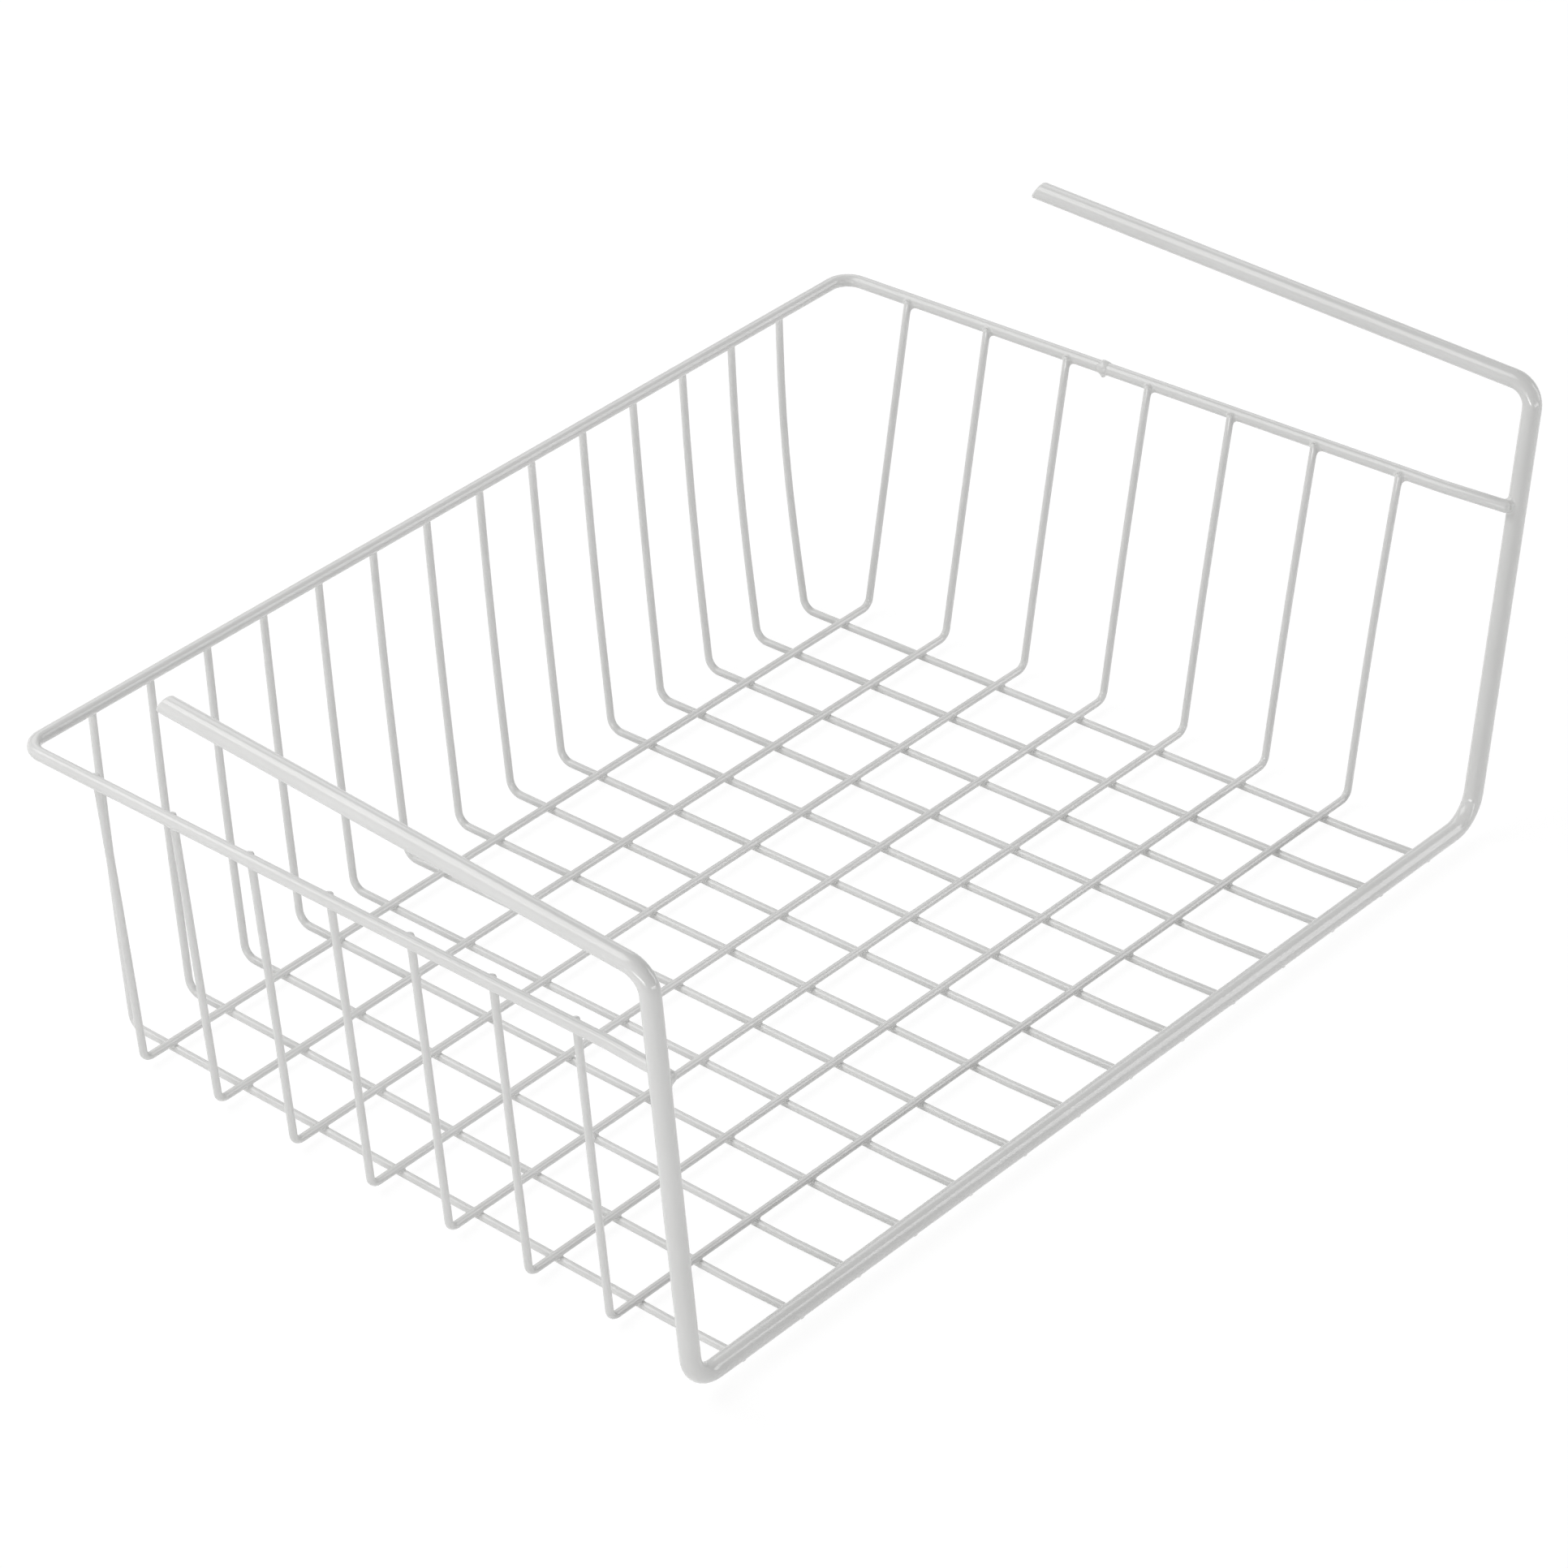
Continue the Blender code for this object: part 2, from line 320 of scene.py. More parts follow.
def turn_bend(corner, before, after, radius, step_angle):
    """Spin the wire's open end round a former that touches both runs."""
    turn = before.angle(after)
    steps = max(LEAST_BEND_STEPS, round(turn / step_angle))
    pivot = before.cross(after).normalized()
    centre = corner - before * (radius * math.tan(turn / 2)) + pivot.cross(before) * radius
    bpy.ops.mesh.spin(steps=steps, angle=-turn, center=centre, axis=pivot, use_auto_merge=False)


def select_cut_ends(piece, ends):
    """Select the cut ends at the given places. No other face has more than four corners."""
    bpy.ops.mesh.select_all(action="DESELECT")
    bpy.ops.object.mode_set(mode="OBJECT")
    caps = [face for face in piece.data.polygons if len(face.vertices) > 4]
    for end in ends:
        local_end = piece.matrix_world.inverted() @ end
        min(caps, key=lambda face: (face.center - local_end).length).select = True
    bpy.ops.object.mode_set(mode="EDIT")


def slant_cut(piece, end, slant):
    """Turn the cut end of a run along Y to look partly up, stretched to the wire's full height."""
    select_cut_ends(piece, [end])
    bpy.ops.transform.rotate(value=-slant, orient_axis="X", center_override=end)
    bpy.ops.transform.resize(value=(1, 1, 1 / math.cos(slant)), center_override=end)


def bend_wire(name, corners, radii, thickness, sides, step_angle, end_rounding,
              bows=None, slant=0.0):
    """A round wire through the given corners, bent with the given radii, with rounded cut ends."""
    bows = bows or [Vector()] * (len(corners) - 1)
    runs = [(end - start).normalized() for start, end in zip(corners, corners[1:])]
    first_turn = runs[0].to_track_quat("Z", "Y").to_euler()
    bpy.ops.object.select_all(action="DESELECT")
    bpy.ops.mesh.primitive_circle_add(vertices=sides, radius=thickness / 2, fill_type="NGON",
                                      location=corners[0], rotation=first_turn)
    piece = bpy.context.object
    piece.name = name
    bpy.ops.object.mode_set(mode="EDIT")
    bpy.ops.mesh.select_mode(type="FACE")
    bpy.ops.mesh.select_all(action="SELECT")
    start = corners[0]
    for index, radius in enumerate(radii):
        before, after = runs[index], runs[index + 1]
        setback = radius * math.tan(before.angle(after) / 2)
        push_run(start, corners[index + 1] - before * setback, bows[index])
        turn_bend(corners[index + 1], before, after, radius, step_angle)
        start = corners[index + 1] + after * setback
    push_run(start, corners[-1], bows[-1])
    ends = [corners[0], corners[-1]]
    if slant:
        for end in ends:
            slant_cut(piece, end, slant)
    select_cut_ends(piece, ends)
    bpy.ops.mesh.bevel(offset=end_rounding, segments=END_ROUNDING_STEPS, affect="EDGES")
    bpy.ops.mesh.select_all(action="SELECT")
    bpy.ops.mesh.normals_make_consistent(inside=False)
    bpy.ops.object.mode_set(mode="OBJECT")
    bpy.ops.object.transform_apply(location=True, rotation=True, scale=True)
    bpy.ops.object.shade_smooth_by_angle(angle=WIRE_SMOOTH_ANGLE)
    return piece


# %% Helpers that dress and measure a piece
def finish_piece(piece, *nodes):
    """Coat a piece, let it ride on the basket, and hide the CAD nodes that it stands for."""
    piece.data.materials.clear()
    piece.data.materials.append(COATING)
    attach(piece, "root")
    for node in nodes:
        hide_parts(node)


def misfit(piece, node):
    """How far the piece's box lies from its node's box, in millimetres."""
    low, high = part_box(node)
    places = [vertex.co for vertex in piece.data.vertices]
    off = [abs(min(place[axis] for place in places) - low[axis]) for axis in range(3)]
    off += [abs(max(place[axis] for place in places) - high[axis]) for axis in range(3)]
    return 1000 * max(off)


# %% [markdown]
# ## The heavy frame wire
#
# One 6 mm wire makes the left arm, the left post, the front bar, the right post and the right arm.
# The posts lean out with the basket's sides, and the arms rise a little and come together towards
# the back. The arms' ends were sheared on a slant, so that the top of each is shorter, and the
# coating is drawn round the edge. The photographed left arm is a trace shorter than the right one.

# %% Hanging frame
FRAME_FOOT_BEND = 0.0110
FRAME_ARM_BEND = 0.0075
FRAME_SIDES = 32
FRAME_BEND_STEP = math.radians(8)
ARM_END_SLANT = math.radians(30)
ARM_END_ROUNDING = 0.0008


def frame_corners():
    """Corners of the frame wire's centre line, from the left arm's end to the right arm's."""
    post_at_rim = RIM_FRONT_HALF_WIDTH + RIM_TO_POST
    foot_x = post_at_rim - WALL_SLOPE * (RIM_FRONT_HEIGHT - FRONT_BAR_Z)
    top_x = post_at_rim + WALL_SLOPE * (ARM_FRONT_HEIGHT - RIM_FRONT_HEIGHT)
    knee = Vector((top_x, POST_LEAN_BACK, ARM_FRONT_HEIGHT))
    arm = Vector((-SIDE_TAPER_SHARE * ARM_LENGTH, ARM_LENGTH, ARM_REAR_HEIGHT - ARM_FRONT_HEIGHT))
    left_end = knee + arm * (1 - LEFT_ARM_LOSS / ARM_LENGTH)
    right_end = knee + arm * (1 + RIGHT_ARM_GAIN / ARM_LENGTH)
    left = [(-x, y, z) for x, y, z in (left_end, knee)]
    bar = [(-foot_x, 0, FRONT_BAR_Z), (foot_x, 0, FRONT_BAR_Z)]
    return [behind_front_bar(*corner) for corner in (*left, *bar, knee, right_end)]


frame_wire = bend_wire("hanging_frame", frame_corners(),
                       [FRAME_ARM_BEND, FRAME_FOOT_BEND, FRAME_FOOT_BEND, FRAME_ARM_BEND],
                       FRAME_WIRE, FRAME_SIDES, FRAME_BEND_STEP, ARM_END_ROUNDING,
                       slant=ARM_END_SLANT)
finish_piece(frame_wire, "hanging_frame_wire")
print(f"hanging frame: {len(frame_wire.data.polygons)} faces,",
      f"{misfit(frame_wire, 'hanging_frame_wire'):.2f} mm off")

# %% [markdown]
# ## The rim
#
# A 4 mm wire runs along the left side, the back and the right side, and drops a little towards the
# back. Its cut ends are welded to the posts' inner sides. The left one reaches past the post's
# middle and stands out beside it, and the right one stops at the middle.

# %% Rim
RIM_BEND = 0.0070
RIM_SIDES = 24
RIM_BEND_STEP = math.radians(9)
RIM_END_ROUNDING = 0.0015
RIM_AT_POST = RIM_FRONT_HALF_WIDTH + RIM_LET_IN / math.cos(WALL_LEAN)


def rim_corners():
    """Corners of the rim's centre line, from the left post round the back to the right post."""
    right = [(rim_half_width(y), y, rim_height(y)) for y in (RIM_BACK_Y, DRAWN_RUN)]
    left = [(-x, y, z) for x, y, z in reversed(right)]
    left_end = (-RIM_AT_POST, RIM_FRONT_Y - RIM_END_PAST_LEFT_POST, RIM_FRONT_HEIGHT)
    right_end = (RIM_AT_POST, RIM_FRONT_Y - RIM_END_PAST_RIGHT_POST, RIM_FRONT_HEIGHT)
    return [behind_front_bar(*corner) for corner in (left_end, *left, *right, right_end)]


rim = bend_wire("rim", rim_corners(), [DRAWN_BEND, RIM_BEND, RIM_BEND, DRAWN_BEND],
                RIM_WIRE, RIM_SIDES, RIM_BEND_STEP, RIM_END_ROUNDING)
finish_piece(rim, "rim_wire")
print(f"rim: {len(rim.data.polygons)} faces, {misfit(rim, 'rim_wire'):.2f} mm off")

# %% [markdown]
# ## The thin wires
#
# Fourteen long wires start under the front bar, run along the floor and turn up the back wall.
# Seven cross wires lie on them and turn up at both sides, over a sharper former. All are 2.4 mm
# wire. Between the floor and the rim nothing holds them, so they don't stay quite straight. In the
# photograph the back wall's wires bow out by about half a millimetre, and the last three by one to
# two. The right wall's wires bow in a little towards the front.

# %% Long wires and cross wires
LONG_WIRE_BEND = 0.0045
CROSS_WIRE_BEND = 0.0034
GRID_SIDES = 16
GRID_BEND_STEP = math.radians(11)
GRID_END_ROUNDING = 0.0007
CROSS_WIRE_FLOOR_Z = CROSS_WIRE_Z - LET_IN
BACK_WALL_BOW = 0.0006
LAST_WIRES_BOW = 0.0005
LAST_EVEN_WIRE = 10
RIGHT_WALL_BOW = -0.0008
RIGHT_WALL_BOWED_ROWS = 5
BOW_SPREAD = 0.00015
DICE_SEED = 7
dice = random.Random(DICE_SEED)


def back_bow(index):
    """How far a long wire bows out of the back wall, halfway up."""
    further = LAST_WIRES_BOW * max(0, index - LAST_EVEN_WIRE)
    return BACK_WALL_BOW + further + dice.uniform(-1, 1) * BOW_SPREAD


def right_bow(row):
    """How far a cross wire bows out of the right wall, halfway up."""
    share = max(0.0, 1 - row / RIGHT_WALL_BOWED_ROWS)
    return RIGHT_WALL_BOW * share + dice.uniform(-1, 1) * BOW_SPREAD


def long_wire_wall():
    """Foot and top of the long wires' back wall, as y and z pairs."""
    behind_rim = GRID_TO_RIM - LET_IN / math.cos(WALL_LEAN)
    slope = (RIM_BACK_Y + behind_rim - FLOOR_DEPTH) / (RIM_BACK_HEIGHT - LONG_WIRE_Z)
    top_z = RIM_BACK_HEIGHT - LONG_WIRE_TOP_DROP
    return (FLOOR_DEPTH, LONG_WIRE_Z), (FLOOR_DEPTH + slope * (top_z - LONG_WIRE_Z), top_z)


def long_wire_corners(index):
    """Corners of one long wire, from under the front bar to the top of the back wall."""
    profile = [(-LONG_WIRE_NOSE, LONG_WIRE_Z + LET_IN), (DRAWN_RUN, LONG_WIRE_Z), *long_wire_wall()]
    return [behind_front_bar(long_wire_x(index, y), y, z) for y, z in profile]


def cross_wire_corners(row):
    """Corners of one cross wire, from the left rim across the floor to the right rim."""
    y = cross_wire_y(row)
    foot_x = FLOOR_HALF_WIDTH - SIDE_TAPER_SHARE * y
    rim_z = rim_height(y)
    inside_rim = GRID_TO_RIM - RIM_LET_IN / math.cos(WALL_LEAN)
    slope = (rim_half_width(y) - inside_rim - foot_x) / (rim_z - CROSS_WIRE_FLOOR_Z)
    top_z = rim_z + CROSS_WIRE_TOP_RISE
    top_x = foot_x + slope * (top_z - CROSS_WIRE_FLOOR_Z)
    profile = [(-top_x, top_z), (-foot_x, CROSS_WIRE_FLOOR_Z),
               (foot_x, CROSS_WIRE_FLOOR_Z), (top_x, top_z)]
    return [behind_front_bar(x, y, z) for x, z in profile]


def bend_grid_wire(name, corners, radii, bows):
    """One thin wire through the given corners."""
    return bend_wire(name, corners, radii, GRID_WIRE, GRID_SIDES, GRID_BEND_STEP,
                     GRID_END_ROUNDING, bows)


back_bows = [Vector((0, back_bow(index), 0)) for index in range(LONG_WIRE_COUNT)]
left_bows = [Vector((dice.uniform(-1, 1) * BOW_SPREAD, 0, 0))
             for row in range(CROSS_WIRE_COUNT)]
right_bows = [Vector((right_bow(row), 0, 0)) for row in range(CROSS_WIRE_COUNT)]
for index in range(LONG_WIRE_COUNT):
    long_wire = bend_grid_wire(f"coated_long_wire_{index + 1:02d}", long_wire_corners(index),
                               [DRAWN_BEND, LONG_WIRE_BEND], [Vector(), Vector(), back_bows[index]])
    finish_piece(long_wire, f"long_wire_{index + 1:02d}")
for row in range(CROSS_WIRE_COUNT):
    cross_wire = bend_grid_wire(f"coated_cross_wire_{row + 1}", cross_wire_corners(row),
                                [CROSS_WIRE_BEND] * 2, [left_bows[row], Vector(), right_bows[row]])
    finish_piece(cross_wire, f"cross_wire_{row + 1}")
print(f"last long wire {misfit(long_wire, 'long_wire_14'):.2f} mm off,",
      f"last cross wire {misfit(cross_wire, 'cross_wire_7'):.2f} mm off")

# %% [markdown]
# ## Welds
#
# Where two wires have sunk into each other, weld metal is squeezed into the corners between them,
# and the coating rounds it off. It is the shape that a small ball leaves when it rolls round the
# joint and touches both wires. A boolean with a bevel would make it too, but with many slivers, and
# it occurs over a hundred times. So it is a short tube of rings: one ring lies where the ball
# touches the lower wire, one where it touches the upper wire, and those between lie on the ball.
# Each joint is its own mirror image in x, so two vertices are always stretched into place together.
# The mesh of a weld is given by the steps along half of a ring and by the number of rings above the
# first.

# %% Helpers that make a weld
TUBE_UNIT = 0.001
TUBE_START = 10
SAME_PLACE = 1e-5
ON_MIRROR = 1e-6
HALVINGS = 40
PATH_SAMPLES = 200
WELD_SMOOTH_ANGLE = math.radians(60)
FLOOR_WELD_MESH = (8, 3)
END_WELD_MESH = (12, 4)
POST_WELD_MESH = (24, 8)


def ball_centre(swing, wires, fillet, tip):
    """Centre of the ball that has swung round the upper wire, and how far it clears the lower.

    The joint's middle is the origin. The upper wire runs along X and the lower wire along Y, and
    ends at the tip in half a ball.
    """
    upper_radius, lower_radius, depth = wires
    y = (upper_radius + fillet) * math.sin(swing)
    z = upper_radius - depth / 2 - (upper_radius + fillet) * math.cos(swing)
    above_axis = z + lower_radius - depth / 2
    past_tip = max(y - tip + lower_radius, 0.0)
    room = (lower_radius + fillet) ** 2 - above_axis ** 2 - past_tip ** 2
    return Vector((math.sqrt(max(room, 0.0)), y, z)), room


def widest_swing(direction, wires, fillet, tip):
    """The swing at which the ball lies on the middle line of the joint, found by halving."""
    near, far = 0.0, direction * math.pi
    for _ in range(HALVINGS):
        middle = (near + far) / 2
        if ball_centre(middle, wires, fillet, tip)[1] > 0:
            near = middle
        else:
            far = middle
    return near


def ball_path(wires, fillet, tip, steps):
    """Centres of the ball along the right half of the joint, from -Y to +Y and evenly spaced."""
    shares = [math.sin(math.pi / 2 * step / PATH_SAMPLES) for step in range(PATH_SAMPLES + 1)]
    back, front = (widest_swing(direction, wires, fillet, tip) for direction in (-1, 1))
    swings = [back * share for share in reversed(shares)]
    swings += [front * share for share in shares[1:]]
    path = [ball_centre(swing, wires, fillet, tip)[0] for swing in swings]
    reached = [0.0]
    for before, after in zip(path, path[1:]):
        reached.append(reached[-1] + (after - before).length)
    marks = [reached[-1] * step / steps for step in range(steps + 1)]
    return [path[min(range(len(path)), key=lambda index: abs(reached[index] - mark))]
            for mark in marks]


def ball_rows(wires, fillet, tip, steps, rings):
    """Places on the fillet for each centre of the ball, from the lower wire up to the upper."""
    upper_radius, lower_radius, depth = wires
    rows = []
    for centre in ball_path(wires, fillet, tip, steps):
        lower_touch = Vector((0, min(centre.y, tip - lower_radius), depth / 2 - lower_radius))
        upper_touch = Vector((centre.x, 0, upper_radius - depth / 2))
        to_lower = (lower_touch - centre).normalized()
        to_upper = (upper_touch - centre).normalized()
        rows.append([centre + to_lower.slerp(to_upper, ring / rings) * fillet
                     for ring in range(rings + 1)])
    return rows


def stretch_pair(weld, old, new):
    """Move the vertex at old, and its mirror image in x, to new and its mirror image."""
    bpy.ops.mesh.select_all(action="DESELECT")
    bpy.ops.object.mode_set(mode="OBJECT")
    for vertex in weld.data.vertices:
        place = Vector((abs(vertex.co.x), vertex.co.y, vertex.co.z))
        vertex.select = (place - old).length < SAME_PLACE
    bpy.ops.object.mode_set(mode="EDIT")
    stretch = new.x / old.x if old.x > ON_MIRROR else 1
    bpy.ops.transform.resize(value=(stretch, 1, 1), center_override=(0, 0, 0))
    bpy.ops.transform.translate(value=(0, new.y - old.y, new.z - old.z))


def roll_weld(name, upper_wire, lower_wire, depth, fillet, tip=math.inf, mesh=FLOOR_WELD_MESH):
    """A weld at the origin. The upper wire runs along X, the lower one along Y up to its tip."""
    steps, rings = mesh
    wires = (upper_wire / 2, lower_wire / 2, depth)
    bpy.ops.object.select_all(action="DESELECT")
    bpy.ops.mesh.primitive_circle_add(vertices=2 * steps, radius=TUBE_UNIT, fill_type="NGON",
                                      location=(0, 0, TUBE_START * TUBE_UNIT))
    weld = bpy.context.object
    weld.name = name
    bpy.ops.object.transform_apply(location=True, rotation=False, scale=False)
    bpy.ops.object.mode_set(mode="EDIT")
    bpy.ops.mesh.select_mode(type="FACE")
    bpy.ops.mesh.select_all(action="SELECT")
    for ring in range(rings):
        bpy.ops.mesh.extrude_region_move(TRANSFORM_OT_translate={"value": (0, 0, TUBE_UNIT)})
    bpy.ops.mesh.select_mode(type="VERT")
    for step, row in enumerate(ball_rows(wires, fillet, tip, steps, rings)):
        turn = math.pi * (step / steps - 0.5)
        for ring, place in enumerate(row):
            on_tube = Vector((math.cos(turn), math.sin(turn), TUBE_START + ring)) * TUBE_UNIT
            stretch_pair(weld, on_tube, place)
    bpy.ops.mesh.select_all(action="SELECT")
    bpy.ops.mesh.normals_make_consistent(inside=False)
    bpy.ops.object.mode_set(mode="OBJECT")
    bpy.ops.object.shade_smooth_by_angle(angle=WELD_SMOOTH_ANGLE)
    return weld


def weld_between(upper, lower, upper_wire, lower_wire):
    """Matrix that puts a weld between two wires, each given by a point and a direction.

    The lower wire's direction points to its tip. Where the wires don't cross quite square, the weld
    takes half of the skew from each.
    """
    ends = (upper[0], upper[0] + upper[1], lower[0], lower[0] + lower[1])
    on_upper, on_lower = intersect_line_line(*ends)
    apart = on_upper - on_lower
    z_axis = apart.normalized()
    square = lower[1].cross(z_axis).normalized()
    x_axis = (square + upper[1] * math.copysign(1, upper[1].dot(square))).normalized()
    turned = Matrix((x_axis, z_axis.cross(x_axis), z_axis)).transposed().to_4x4()
    middle = on_lower + z_axis * (apart.length + lower_wire / 2 - upper_wire / 2) / 2
    return Matrix.Translation(middle) @ turned


def set_welds(patterns, groups):
    """Make one piece for each group of places, with a weld at each place.

    The dice pick the pattern that is copied there. The patterns themselves go in the end.
    """
    for name, places in groups.items():
        bpy.ops.object.select_all(action="DESELECT")
        for place in places:
            weld = dice.choice(patterns).copy()
            weld.data = weld.data.copy()
            weld.data.transform(place)
            bpy.context.scene.collection.objects.link(weld)
            weld.select_set(True)
            bpy.context.view_layer.objects.active = weld
        bpy.ops.object.join()
        welds = bpy.context.object
        welds.name = name
        finish_piece(welds)
    for pattern in patterns:
        bpy.data.objects.remove(pattern, do_unlink=True)


# %% [markdown]
# ### Welds of the floor and of the front bar
#
# Each cross wire is welded to all fourteen long wires. Under the front bar each long wire ends just
# in front of the bar's middle, so that weld is short to the front.

# %% Floor welds and front bar welds
FLOOR_FILLETS = (0.0003, 0.0004, 0.0006)
FRONT_BAR_FILLETS = (0.0013, 0.0017)
AXIS_X = Vector((1, 0, 0))


def floor_weld_place(index, row):
    """Between a cross wire and a long wire, which lies under it."""
    lower_start, lower_end = long_wire_corners(index)[1:3]
    upper_start = cross_wire_corners(row)[1]
    along_lower = direction_at_end(lower_start, lower_end)
    return weld_between((upper_start, AXIS_X), (lower_end, along_lower), GRID_WIRE, GRID_WIRE)


def bar_weld_place(index):
    """Between the front bar and a long wire's nose, which lies under it."""
    nose, behind_nose = long_wire_corners(index)[:2]
    return weld_between((behind_front_bar(0, 0, FRONT_BAR_Z), AXIS_X),
                        (nose, direction_at_end(behind_nose, nose)), FRAME_WIRE, GRID_WIRE)


patterns = [roll_weld("floor_weld", GRID_WIRE, GRID_WIRE, WELD_DEPTH, fillet)
            for fillet in FLOOR_FILLETS]
groups = {f"floor_welds_{row + 1}": [floor_weld_place(index, row)
                                     for index in range(LONG_WIRE_COUNT)]
          for row in range(CROSS_WIRE_COUNT)}
set_welds(patterns, groups)

patterns = [roll_weld("front_bar_weld", FRAME_WIRE, GRID_WIRE, WELD_DEPTH, fillet,
                      LONG_WIRE_NOSE, END_WELD_MESH) for fillet in FRONT_BAR_FILLETS]
groups = {"front_bar_welds": [bar_weld_place(index) for index in range(LONG_WIRE_COUNT)]}
set_welds(patterns, groups)
print("floor welds", CROSS_WIRE_COUNT * LONG_WIRE_COUNT, "and front bar welds", LONG_WIRE_COUNT)

# %% [markdown]
# ### Welds of the rim
#
# Behind the back rim the long wires end a little below its middle, and inside the side rims the
# cross wires end a little above it. Each end is pressed into the rim, so weld metal wraps over it
# and makes a small web on both flanks. The rim's own ends meet the posts in the same way, with the
# largest webs. The corners of a wire are listed from left to right, so the functions below read
# them backwards for the right side.

# %% Rim welds and post welds
RIM_FILLETS = (0.0011, 0.0014)
LEFT_POST_FILLET = 0.0020
RIGHT_POST_FILLET = 0.0013


def rim_direction(side):
    """Along a side rim to the back. Side is 1 on the right and -1 on the left."""
    return Vector((-side * SIDE_TAPER_SHARE, 1, -RIM_DROP_SLOPE)).normalized()


def back_weld_place(index):
    """Between the back rim and a long wire, which lies behind it."""
    foot, top = long_wire_corners(index)[-2:]
    back_rim = behind_front_bar(0, RIM_BACK_Y, RIM_BACK_HEIGHT)
    upright = (top, direction_at_end(foot, top, back_bows[index]))
    return weld_between((back_rim, AXIS_X), upright, RIM_WIRE, GRID_WIRE)


def side_weld_place(row, side):
    """Between a side rim and a cross wire, which lies inside it."""
    top, foot = cross_wire_corners(row)[::-side][:2]
    bow = right_bows[row] if side == 1 else left_bows[row]
    upright = (top, direction_at_end(foot, top, bow))
    rim_front = behind_front_bar(side * rim_half_width(0), 0, rim_height(0))
    return weld_between((rim_front, rim_direction(side)), upright, RIM_WIRE, GRID_WIRE)


def post_weld_place(side):
    """Between a post and the rim's end, which lies inside it and points to the front."""
    knee, foot = frame_corners()[::-side][1:3]
    end, behind_end = rim_corners()[::-side][:2]
    post = (foot, direction_at_end(foot, knee))
    rim_end = (end, direction_at_end(behind_end, end))
    return weld_between(post, rim_end, FRAME_WIRE, RIM_WIRE)


patterns = [roll_weld("long_wire_weld", RIM_WIRE, GRID_WIRE, WELD_DEPTH, fillet,
                      -LONG_WIRE_TOP_DROP, END_WELD_MESH) for fillet in RIM_FILLETS]
groups = {"back_rim_welds": [back_weld_place(index) for index in range(LONG_WIRE_COUNT)]}
set_welds(patterns, groups)

patterns = [roll_weld("cross_wire_weld", RIM_WIRE, GRID_WIRE, RIM_WELD_DEPTH, fillet,
                      CROSS_WIRE_TOP_RISE, END_WELD_MESH) for fillet in RIM_FILLETS]
groups = {"left_rim_welds": [side_weld_place(row, -1) for row in range(CROSS_WIRE_COUNT)],
          "right_rim_welds": [side_weld_place(row, 1) for row in range(CROSS_WIRE_COUNT)]}
set_welds(patterns, groups)

for name, side, fillet, past_post in (
        ("left_post_weld", -1, LEFT_POST_FILLET, RIM_END_PAST_LEFT_POST),
        ("right_post_weld", 1, RIGHT_POST_FILLET, RIM_END_PAST_RIGHT_POST)):
    pattern = roll_weld("post_weld", FRAME_WIRE, RIM_WIRE, RIM_WELD_DEPTH, fillet,
                        past_post, POST_WELD_MESH)
    set_welds([pattern], {name: [post_weld_place(side)]})
print("rim welds", LONG_WIRE_COUNT + 2 * CROSS_WIRE_COUNT, "and post welds 2")

# %% [markdown]
# ### Where the rim wire was joined
#
# The right side of the rim has a butt weld, where two lengths of wire were joined end to end before
# bending. The squeezed out metal was left on: a low collar with a nub below and a smaller one
# above.

# %% Butt weld bead, whose rings each have a place along the rim and a radius
BEAD_Y = 0.1479
BEAD_SIDES = 16
BEAD_RINGS = ((-0.0022, 0.00193), (-0.0015, 0.00222), (-0.0007, 0.00244), (0.0004, 0.00246),
              (0.0012, 0.00224), (0.0019, 0.00193))
BEAD_ROUNDING_LEVELS = 2
NUB_BELOW = 0.0011
NUB_ABOVE = 0.0002
NUB_FACING = 0.85
NUB_HALF_LENGTH = 0.0010
NUB_TAPER = (0.6, 0.6, 0.3)


def draw_out_nub(bead, side, length):
    """Pull the middle faces of the bead's top or bottom outwards, to a blunt point."""
    bpy.ops.mesh.select_mode(type="FACE")
    bpy.ops.mesh.select_all(action="DESELECT")
    bpy.ops.object.mode_set(mode="OBJECT")
    for face in bead.data.polygons:
        is_near = abs(face.center.y) < NUB_HALF_LENGTH
        face.select = face.normal.z * side > NUB_FACING and is_near
    places = [bead.data.vertices[index].co for face in bead.data.polygons if face.select
              for index in face.vertices]
    middle = sum(places, Vector()) / len(places)
    bpy.ops.object.mode_set(mode="EDIT")
    bpy.ops.mesh.extrude_region_move(TRANSFORM_OT_translate={"value": (0, 0, side * length)})
    middle.z += side * length
    bpy.ops.transform.resize(value=NUB_TAPER, center_override=middle)


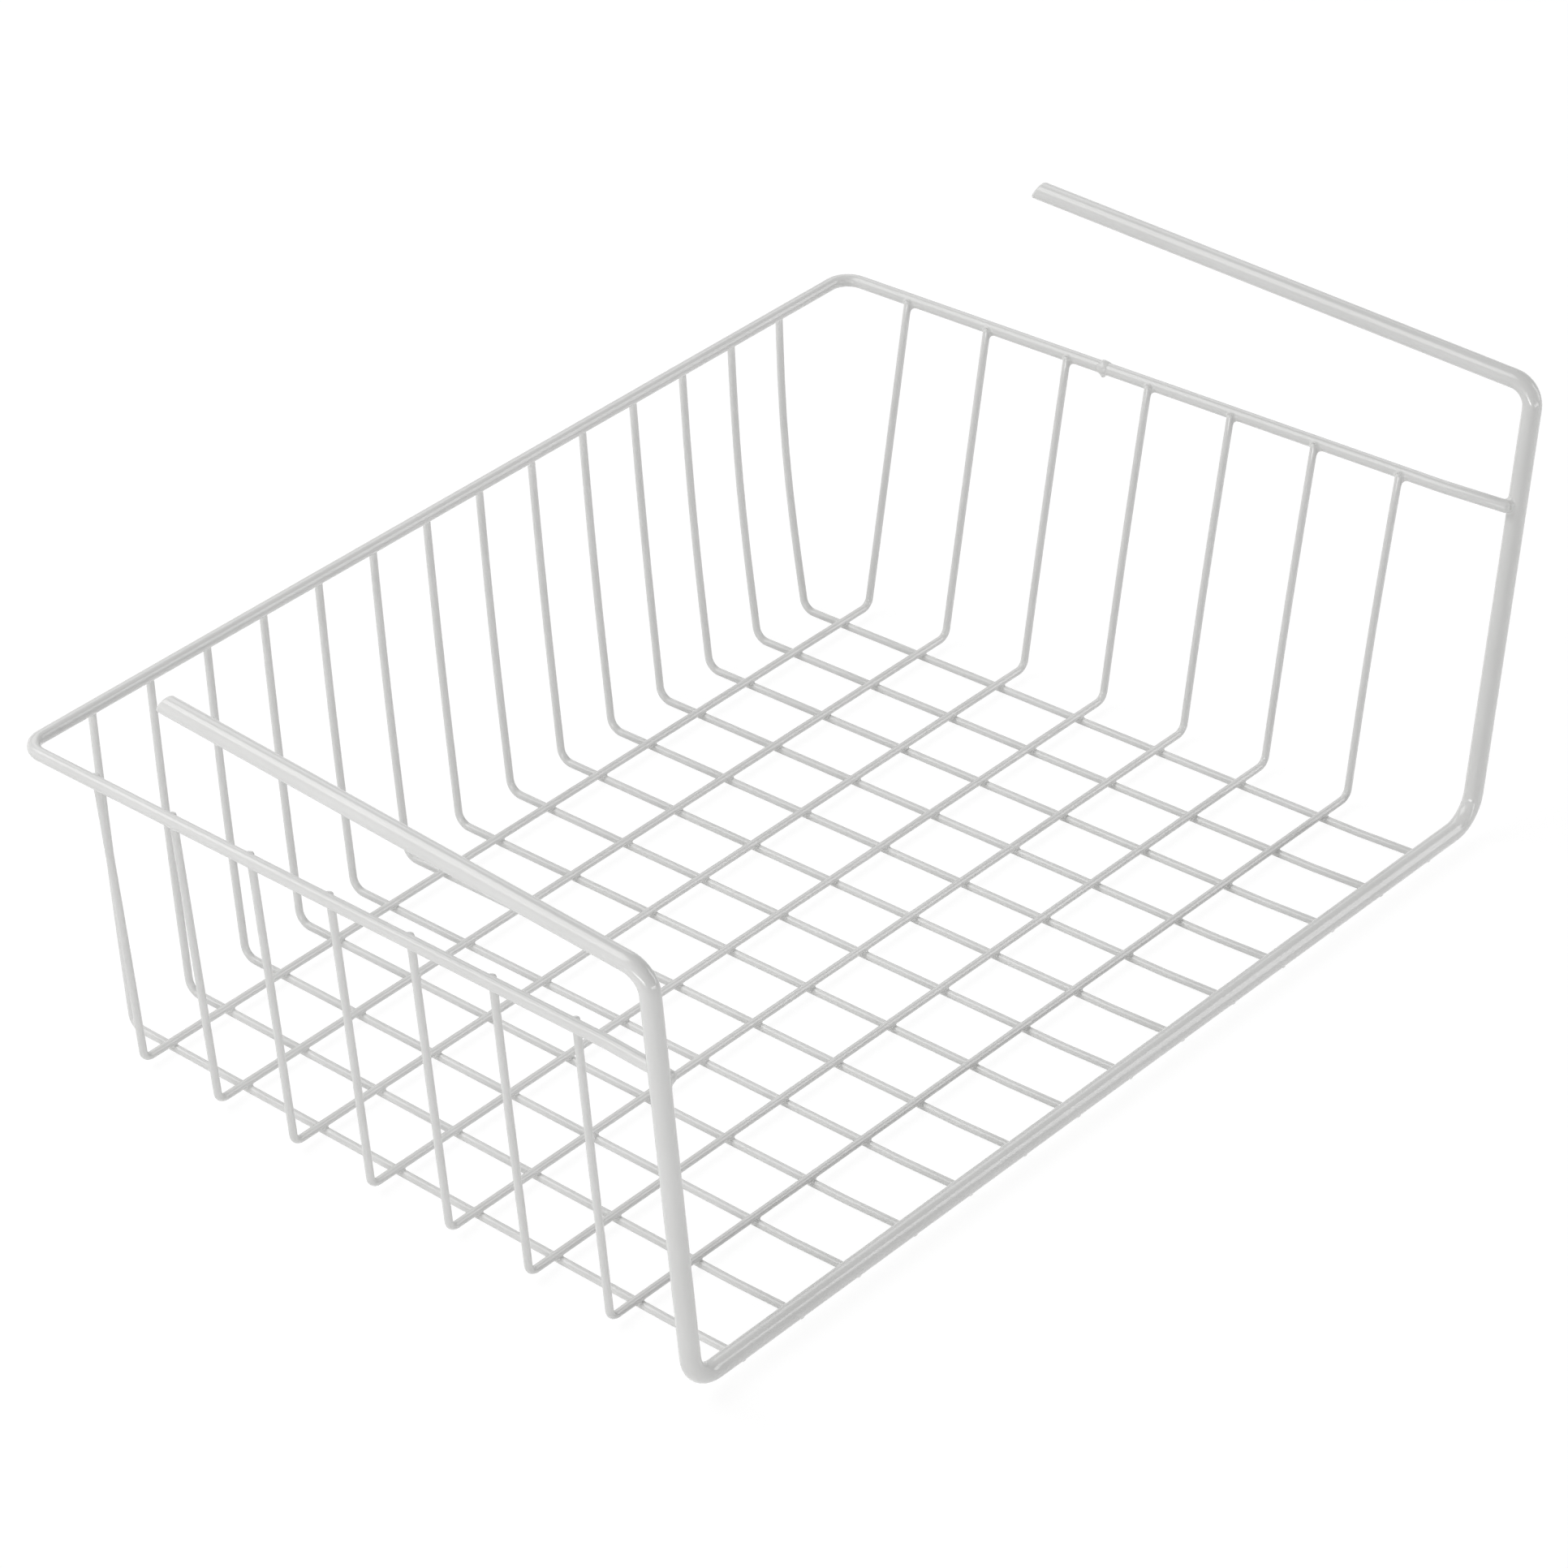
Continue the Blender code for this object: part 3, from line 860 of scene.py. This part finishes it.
def squeeze_bead():
    """The bead at the origin, round a rim wire that runs along Y."""
    start, radius = BEAD_RINGS[0]
    bpy.ops.object.select_all(action="DESELECT")
    bpy.ops.mesh.primitive_circle_add(vertices=BEAD_SIDES, radius=radius, fill_type="NGON",
                                      location=(0, start, 0), rotation=(-math.pi / 2, 0, 0))
    bead = bpy.context.object
    bead.name = "rim_butt_weld"
    bpy.ops.object.transform_apply(location=True, rotation=True, scale=True)
    bpy.ops.object.mode_set(mode="EDIT")
    bpy.ops.mesh.select_mode(type="FACE")
    bpy.ops.mesh.select_all(action="SELECT")
    for place, next_radius in BEAD_RINGS[1:]:
        bpy.ops.mesh.extrude_region_move(TRANSFORM_OT_translate={"value": (0, place - start, 0)})
        grow = next_radius / radius
        bpy.ops.transform.resize(value=(grow, 1, grow), center_override=(0, place, 0))
        start, radius = place, next_radius
    bpy.ops.mesh.select_all(action="SELECT")
    bpy.ops.mesh.normals_make_consistent(inside=False)
    draw_out_nub(bead, -1, NUB_BELOW)
    draw_out_nub(bead, 1, NUB_ABOVE)
    bpy.ops.object.mode_set(mode="OBJECT")
    rounding = bead.modifiers.new("rounding", "SUBSURF")
    rounding.levels = BEAD_ROUNDING_LEVELS
    rounding.render_levels = BEAD_ROUNDING_LEVELS
    bpy.ops.object.modifier_apply(modifier=rounding.name)
    bpy.ops.object.shade_smooth()
    return bead


butt_weld = squeeze_bead()
butt_weld.location = behind_front_bar(rim_half_width(BEAD_Y), BEAD_Y, rim_height(BEAD_Y))
butt_weld.rotation_euler = rim_direction(1).to_track_quat("Y", "Z").to_euler()
bpy.ops.object.transform_apply(location=True, rotation=True, scale=True)
finish_piece(butt_weld)
print("butt weld", len(butt_weld.data.polygons), "faces")

# %% [markdown]
# ## Floor and light
#
# The photograph shows the basket on pure white. A floor lit to pure white would need so much light
# that the basket would burn out. So the floor is a plain pale one for the light that bounces off
# it, and brightens itself only for the camera and for reflections, with enough of the real light
# left to keep the basket's soft shadow.

# %% Floor
FLOOR_RADIUS = 3.0
FLOOR_SIDES = 96
FLOOR_COLOUR = "#F2F2F2"
SHADOW_SHARE = 0.18
FLOOR_GLOW = 1.11


def seen_directly(tree):
    """A value of 1 for rays from the camera and for reflected and transmitted ones, else 0."""
    rays = add_node(tree, "ShaderNodeLightPath")
    seen = add_node(tree, "ShaderNodeMath",
                    {0: rays.outputs["Is Camera Ray"], 1: rays.outputs["Is Glossy Ray"]},
                    operation="MAXIMUM")
    seen = add_node(tree, "ShaderNodeMath",
                    {0: seen.outputs[0], 1: rays.outputs["Is Transmission Ray"]},
                    operation="MAXIMUM")
    return seen.outputs[0]


def pale_floor():
    """Matt pale floor that looks white to the camera and keeps a soft shadow."""
    material = bpy.data.materials.new("pale_studio_floor")
    material.use_nodes = True
    tree = material.node_tree
    tree.nodes.remove(tree.nodes["Principled BSDF"])
    plain = add_node(tree, "ShaderNodeBsdfDiffuse", inputs={"Color": hex_colour(FLOOR_COLOUR)})
    glow = add_node(tree, "ShaderNodeEmission", inputs={"Strength": FLOOR_GLOW})
    shadow = add_node(tree, "ShaderNodeMixShader", {1: glow.outputs[0], 2: plain.outputs[0]},
                      {"Fac": SHADOW_SHARE})
    surface = add_node(tree, "ShaderNodeMixShader",
                       {"Fac": seen_directly(tree), 1: plain.outputs[0], 2: shadow.outputs[0]})
    tree.links.new(surface.outputs[0], tree.nodes["Material Output"].inputs["Surface"])
    return material


bpy.ops.object.select_all(action="DESELECT")
bpy.ops.mesh.primitive_circle_add(vertices=FLOOR_SIDES, radius=FLOOR_RADIUS, fill_type="NGON",
                                  location=(0, 0, 0))
floor = bpy.context.object
floor.name = "studio_floor"
floor.data.materials.append(pale_floor())

# %% [markdown]
# The light itself is plain. Round wire shows a lamp as a line along it. In the photograph the wires
# that run to the back have a broad pale line on top, and those that run across are dark on top and
# pale from the middle down. So the main softbox stands high at the back left, and a tall one at the
# front right. Low strips on the left and in front light the lower halves of the wires, a weak box
# at the back right lifts their edges, and a dim world fills the rest.

# %% Lamps and world, with each lamp's place, width, height and power
SOFTBOXES = {
    "softbox_back_left": ((-0.62, 0.74, 1.23), 1.30, 1.00, 12.2),
    "softbox_back_right": ((0.76, 0.91, 1.00), 1.20, 0.60, 3.2),
    "softbox_front_right": ((1.08, -0.91, 0.59), 0.50, 1.00, 5.0),
    "strip_left": ((-1.35, -0.36, 0.16), 0.90, 0.20, 4.9),
    "strip_front": ((0.00, -1.50, 0.13), 1.20, 0.15, 2.9),
}
AIM = Vector((0, 0, 0.08))
WORLD_FILL = 0.14
BACKDROP_GLOW = 1.0
BACKDROP_COLOUR = "#FFFFFF"


def add_softbox(name, place, width, height, power):
    """An oblong area lamp that faces the basket."""
    data = bpy.data.lights.new(name, "AREA")
    data.shape = "RECTANGLE"
    data.size = width
    data.size_y = height
    data.energy = power
    lamp = bpy.data.objects.new(name, data)
    lamp.location = place
    lamp.rotation_euler = (AIM - Vector(place)).to_track_quat("-Z", "Y").to_euler()
    bpy.context.scene.collection.objects.link(lamp)


for name, softbox in SOFTBOXES.items():
    add_softbox(name, *softbox)

world = bpy.data.worlds.new("studio")
bpy.context.scene.world = world
world.use_nodes = True
sky = world.node_tree.nodes["Background"]
strength = add_node(world.node_tree, "ShaderNodeMapRange",
                    {"Value": seen_directly(world.node_tree)},
                    {"To Min": WORLD_FILL, "To Max": BACKDROP_GLOW})
world.node_tree.links.new(strength.outputs["Result"], sky.inputs["Strength"])
sky.inputs["Color"].default_value = hex_colour(BACKDROP_COLOUR)
bpy.context.scene.view_settings.view_transform = "Standard"
print("softboxes:", ", ".join(SOFTBOXES))
